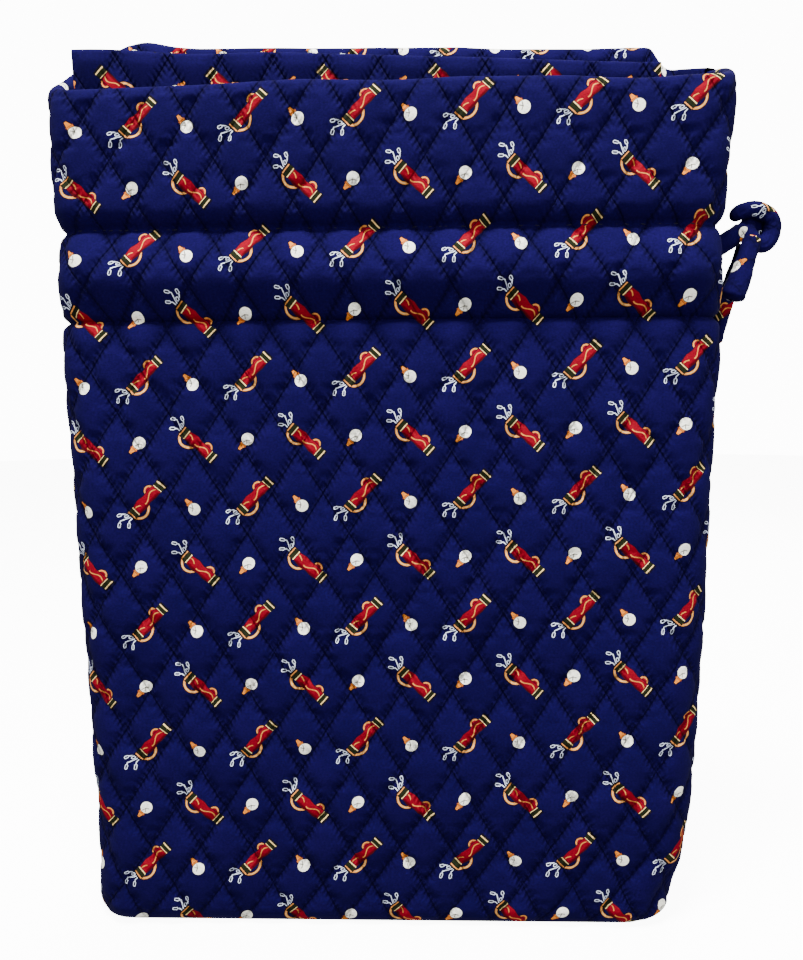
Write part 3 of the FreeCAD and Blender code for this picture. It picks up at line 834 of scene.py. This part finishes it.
def divider_skin():
    half = 134.0
    step = 1.4
    low = 6.0
    top = DIVIDER_TOP_Z
    levels = np.arange(low, top - 2.0, step)
    roll = np.linspace(0, math.pi, 7)
    depth = np.concatenate([np.full(len(levels), -2.0), -2.0 * np.cos(roll), np.full(len(levels), 2.0)])
    level = np.concatenate([levels, top - 2.0 + 2.0 * np.sin(roll), levels[::-1]])
    cols = int(2 * half / step)
    u = np.linspace(-half, half, cols)[None, :] * np.ones((len(level), 1))
    z = level[:, None] * np.ones((1, cols))
    off = depth[:, None] * np.ones((1, cols))
    t = (top - z)
    turned_t = -t
    edge = np.clip((half - np.abs(u)) / 6.0, 0, 1)
    rim = np.clip((top - z) / 6.0, 0, 1)
    soft = 0.5 * quilt(-u, turned_t) * edge * rim
    y = divider_y(z) + off + np.sign(off) * soft
    y = y + lattice_noise(u / 60.0, z / 80.0, 71) * 1.2 * np.clip(z / 200.0, 0, 1)
    high = ease((z - 300.0) / 110.0)
    lift = (lattice_noise(u / 40.0 + 5, z * 0, 73) * 1.2 - 0.034 * (u + 120.0)) * high
    points = np.stack([u * (1 + 0.025 * high) - 10.4 * high, y, z + lift], -1)
    return grid_mesh("divider_quilted_cloth", points, np.stack([-u, turned_t], -1))


divider = divider_skin()
divider.data.materials.append(PRINTED)
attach(divider, "divider")
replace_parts(divider, "divider_front_cloth", "divider_batting", "divider_back_cloth")

# ---- bottom -----------------------------------------------------------------------------
def floor_skin(name, z, inset, up, material):
    """One face of the boxed bottom, with the print running on under the bag."""
    wide, deep, radius = (float(v) for v in sizes(0.0))
    rows, cols = 44, 190
    across = np.linspace(-1, 1, cols)[None, :] * np.ones((rows, 1))
    along = np.linspace(-1, 1, rows)[:, None] * np.ones((1, cols))
    y = along * (deep - inset)
    turn = np.clip((np.abs(y) - (deep - radius)) / (radius - inset), 0, 1)
    x = across * (wide - radius + (radius - inset) * np.sqrt(1 - turn ** 2))
    t = TOP_Z + BOTTOM_DEPTH * (y + deep) / (2 * deep)
    edge = np.clip((1 - np.abs(across)) * 20, 0, 1) * np.clip((1 - np.abs(along)) * 4, 0, 1)
    lift = up * 0.34 * quilt(x, t) * edge
    points = slump(np.stack([x, y, z + lift], -1))
    obj = grid_mesh(name, points, np.stack([x, t], -1))
    obj.data.materials.append(material)
    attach(obj, "bag")
    "lining" if material == LINING else "printed_cotton"
    return obj


bottom = floor_skin("bottom_quilted_cloth", 0.5, 0.6, 0.0, PRINTED)
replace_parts(bottom, "bottom_outer_cloth", "bottom_batting")
bottom_inside = floor_skin("bottom_quilted_lining", 4.0, 4.4, 1.0, LINING)
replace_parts(bottom_inside, "bottom_lining")


# ---- side seams -------------------------------------------------------------------------
def seam_tape(name, hand):
    """Bound seam allowance inside the bag: a folded tape that stands in from the side seam."""
    levels = np.linspace(8.0, CASING_LOW_Z - 1.0, 150)
    turn = np.linspace(0, 2 * math.pi, 17)[:-1]
    z = levels[:, None] * np.ones((1, 16))
    wide = np.interp(z, STATION_Z, STATION_W)
    swell = 1.0 + 0.18 * lattice_noise(z / 9.0, z * 0 + turn, 81)
    x = hand * (wide - 6.6 + 2.6 * np.cos(turn)[None, :] * swell)
    y = 1.5 * np.sin(turn)[None, :] * swell + 0.8 * lattice_noise(z / 33.0, z * 0, 83)
    tape = grid_mesh(name, slump(np.stack([x, y, z], -1)), np.stack([z, turn[None, :] * 2 + 0 * z], -1), closed=True)
    tape.data.materials.append(LINING)
    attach(tape, "bag")
    return tape


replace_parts(seam_tape("left_seam_tape", -1.0), "left_side_seam")
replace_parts(seam_tape("right_seam_tape", 1.0), "right_side_seam")


# ---- casing stitches --------------------------------------------------------------------
def bead(radius, length, around=6, rings=5):
    """Points and faces of one stitch lying along X."""
    points = []
    for ring in range(rings):
        share = ring / (rings - 1)
        x = (share - 0.5) * length
        r = radius * math.sqrt(max(0.02, math.sin(math.pi * min(max(share, 0.05), 0.95))))
        for k in range(around):
            angle = 2 * math.pi * k / around
            points.append((x, r * math.cos(angle), r * math.sin(angle)))
    faces = []
    for ring in range(rings - 1):
        for k in range(around):
            n = (k + 1) % around
            faces.append((ring * around + k, ring * around + n, (ring + 1) * around + n, (ring + 1) * around + k))
    return points, faces


def stitch_row(name, side, z):
    points, faces = bead(0.32, 2.6)
    all_points, all_faces = [], []
    count = 78
    for i in range(count):
        share = (i - (count - 1) / 2) / ((count - 1) / 2) * 0.80
        at, normal, u = on_outline(np.array(share), np.array(z), side)
        at = slump(at + normal * -2.9)
        start = len(all_points)
        tilt = 0.12 * math.sin(i * 2.3)
        for x, y, w in points:
            all_points.append(((at[0] + x) * MM, (at[1] + y) * MM, (at[2] + w + tilt * x) * MM))
        all_faces.extend(tuple(start + k for k in face) for face in faces)
    mesh = bpy.data.meshes.new(name)
    mesh.from_pydata(all_points, [], all_faces)
    obj = bpy.data.objects.new(name, mesh)
    bpy.context.scene.collection.objects.link(obj)
    obj.data.materials.append(THREAD)
    return obj


for where, side in (("front", -1.0), ("back", 1.0)):
    for row, z in (("lower", CASING_LOW_Z + 0.6), ("upper", CASING_HIGH_Z)):
        stitches = stitch_row(where + "_" + row + "_stitches", side, z)
        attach(stitches, where + "_header")
        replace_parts(stitches, where + "_" + row + "_casing_stitches")


# ---- drawstring -------------------------------------------------------------------------
CORD = 8.5


def spline_points(route):
    """Points along the NURBS spline that has a route's points as its control points."""
    curve = bpy.data.curves.new("route", "CURVE")
    curve.dimensions = "3D"
    spline = curve.splines.new("NURBS")
    spline.points.add(len(route) - 1)
    for point, place_at in zip(spline.points, route):
        point.co = (*place_at, 1.0)
    spline.order_u = 3
    spline.use_endpoint_u = True
    spline.resolution_u = 24
    holder = bpy.data.objects.new("route", curve)
    mesh = bpy.data.meshes.new_from_object(holder)
    points = np.array([tuple(v.co) for v in mesh.vertices])
    bpy.data.objects.remove(holder)
    bpy.data.curves.remove(curve)
    bpy.data.meshes.remove(mesh)
    return points


def soft_tube(name, line, radius, seed, caps=True, ends=(0.0, 0.0), closed=False, flare=0.0):
    """Sewn cloth tube along a line, creased and a little flat, with the print on it."""
    around = 40
    tangent = np.gradient(line, axis=0)
    if closed:
        tangent = np.roll(line, -1, 0) - np.roll(line, 1, 0)
    tangent = tangent / np.linalg.norm(tangent, axis=1)[:, None]
    up = np.array([0.15, 1.0, 0.1])
    right = np.cross(tangent, up)
    right /= np.linalg.norm(right, axis=1)[:, None]
    up = np.cross(right, tangent)
    step = np.linalg.norm(np.diff(line, axis=0), axis=1)
    along = np.concatenate([[0], np.cumsum(step)])
    turn = np.linspace(0, 2 * math.pi, around + 1)[:-1]
    s = along[:, None] * np.ones((1, around))
    a = turn[None, :] * np.ones((len(line), 1))
    crease = lattice_noise(s / 5.0, 3 * np.cos(a) + 5, seed) * 0.34 + lattice_noise(s / 2.2, 4 * np.sin(a) + 9, seed + 1) * 0.16
    fold = 0.30 * np.cos(2 * a + 0.6)
    r = radius * (1 - 0.02) + crease + fold
    total = along[-1]
    r = r + flare * (s / total) ** 2
    if caps:
        for end_at, wanted in ((s, ends[0]), (total - s, ends[1])):
            if wanted:
                r = r * np.sqrt(np.clip(1 - (1 - np.clip(end_at / wanted, 0.0, 1.0)) ** 2, 0.03, 1))
    if closed:
        blend = np.clip(s / 6.0, 0, 1)
        r = r * blend + r[-1:] * (1 - blend)
    points = line[:, None, :] + r[..., None] * (np.cos(a)[..., None] * right[:, None, :] + np.sin(a)[..., None] * up[:, None, :])
    if closed:
        points = np.concatenate([points, points[:1]])
        s = np.concatenate([s, s[:1] + total + 1.0])
        a = np.concatenate([a, a[:1]])
    uv = np.stack([s + seed * 13.7, a * radius + seed * 5.1], -1)
    first = np.concatenate([points, points[:, :1]], 1)
    uv = np.concatenate([uv, uv[:, :1] + np.array([0, 2 * math.pi * radius])], 1)
    tube = grid_mesh(name, first, uv)
    tube.data.materials.append(CORD_CLOTH)
    return tube


CORD_CLOTH = cloth_material("drawstring_cotton", bump=0.2)
HIDDEN_CORD = plain_material("drawstring_in_casing", linear(16, 20, 73))
KNOT_AT = np.array([177.2, -1.0, 336.0])
KNOT_PASS = [                # the cord's way round the knot, from its left knob over the loop
    (-9.4, -0.5, 3.4), (-9.6, -1.2, 6.6), (-4.5, -2.2, 8.4), (2.0, -2.4, 8.6), (7.6, -1.6, 4.4),
    (8.2, -0.6, -3.0), (3.6, -3.0, -9.2), (-2.2, -3.6, -6.8), (-4.4, -1.6, -1.2), (-1.6, 3.4, 3.4),
    (4.0, 4.2, 1.2), (3.2, 4.4, -5.6), (-2.4, 5.0, -6.6),
]
knot_line = spline_points([KNOT_AT + np.array(step) for step in KNOT_PASS])
knot = soft_tube("drawstring_knot_cloth", knot_line, 3.9, 3, ends=(3.4, 3.0))
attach(knot, "drawstring")
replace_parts(knot, "drawstring_knot")

FRONT_TAIL = [(173.6, -9.4, 331.0), (168.4, -13.4, 315.6), (161.9, -15.6, 300.4)]
BACK_TAIL = [(176.8, 7.4, 330.4), (171.8, 10.4, 314.0), (166.4, 11.6, 299.5), (162.8, 12.2, 281.6)]
for where, route, seed in (("front", FRONT_TAIL, 5), ("back", BACK_TAIL, 8)):
    line = spline_points(route)
    flare = 1.4 if where == "front" else 0.0
    tail = soft_tube("drawstring_" + where + "_tail_cloth", line, CORD / 2, seed, ends=(3.0, 2.6), flare=flare)
    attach(tail, where + "_tail")
    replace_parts(tail, "drawstring_" + where + "_tail")

for where, side in (("front", -1.0), ("back", 1.0)):
    route = [(149.0, side * 4.6, 319.0), (159.0, side * 4.4, 327.5), (173.0, side * 2.0, 336.0)]
    line = spline_points(route)
    strand = soft_tube("drawstring_" + where + "_strand_cloth", line, CORD / 2, 11 + int(side), ends=(0.0, 2.0))
    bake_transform(strand)
    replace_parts(strand, "drawstring_" + where + "_strand")
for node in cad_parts:
    if node.startswith("drawstring"):
        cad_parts[node].data.materials.clear()
        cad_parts[node].data.materials.append(HIDDEN_CORD)

# ---- light and floor ----------------------------------------------------------------------
world = bpy.data.worlds.new("studio")
bpy.context.scene.world = world
world.use_nodes = True
world.node_tree.nodes["Background"].inputs[0].default_value = (1, 1, 1, 1)
world.node_tree.nodes["Background"].inputs[1].default_value = 0.9


def soft_light(name, at, aim, size, power):
    data = bpy.data.lights.new(name, "AREA")
    data.shape = "SQUARE"
    data.size = size
    data.energy = power
    light = bpy.data.objects.new(name, data)
    light.location = at
    light.rotation_euler = (Vector(aim) - Vector(at)).to_track_quat("-Z", "Y").to_euler()
    bpy.context.scene.collection.objects.link(light)
    return light


soft_light("key", (-0.10, -0.42, 1.5), (0, -0.03, 0.2), 0.35, 66.0)
soft_light("fill", (0.5, -1.3, 0.9), (0, 0, 0.2), 0.8, 14.0)

soft_light("behind", (0.3, 1.2, 1.0), (0, 0, 0.2), 0.8, 22.0)

floor_mesh = bpy.data.meshes.new("floor")
floor_mesh.from_pydata([(-4, -4, 0), (4, -4, 0), (4, 4, 0), (-4, 4, 0)], [], [(0, 1, 2, 3)])
floor = bpy.data.objects.new("floor", floor_mesh)
bpy.context.scene.collection.objects.link(floor)
floor_material = bpy.data.materials.new("floor")
floor_material.use_nodes = True
floor_material.node_tree.nodes["Principled BSDF"].inputs["Base Color"].default_value = (0.95, 0.95, 0.95, 1)
floor_material.node_tree.nodes["Principled BSDF"].inputs["Roughness"].default_value = 0.9
floor_material.node_tree.nodes["Principled BSDF"].inputs["Emission Color"].default_value = (1, 1, 1, 1)
floor_material.node_tree.nodes["Principled BSDF"].inputs["Emission Strength"].default_value = 10.0
floor.data.materials.append(floor_material)
BACKDROP_RADIUS = 4.0        # metres
around = [2 * math.pi * k / 48 for k in range(48)]
rims = [(BACKDROP_RADIUS * math.cos(a), BACKDROP_RADIUS * math.sin(a), z) for z in (-2.0, 4.0) for a in around]
panels = [(k, (k + 1) % 48, 48 + (k + 1) % 48, 48 + k) for k in range(48)]
backdrop_mesh = bpy.data.meshes.new("backdrop")
backdrop_mesh.from_pydata(rims, [], panels)
backdrop = bpy.data.objects.new("backdrop", backdrop_mesh)
bpy.context.scene.collection.objects.link(backdrop)
glow = bpy.data.materials.new("backdrop")
glow.use_nodes = True
glow_shader = glow.node_tree.nodes["Principled BSDF"]
glow_shader.inputs["Base Color"].default_value = (1, 1, 1, 1)
glow_shader.inputs["Emission Color"].default_value = (1, 1, 1, 1)
glow_shader.inputs["Emission Strength"].default_value = 12.0
backdrop.data.materials.append(glow)
for staging in (floor, backdrop):
    staging.visible_diffuse = False
    staging.visible_glossy = False
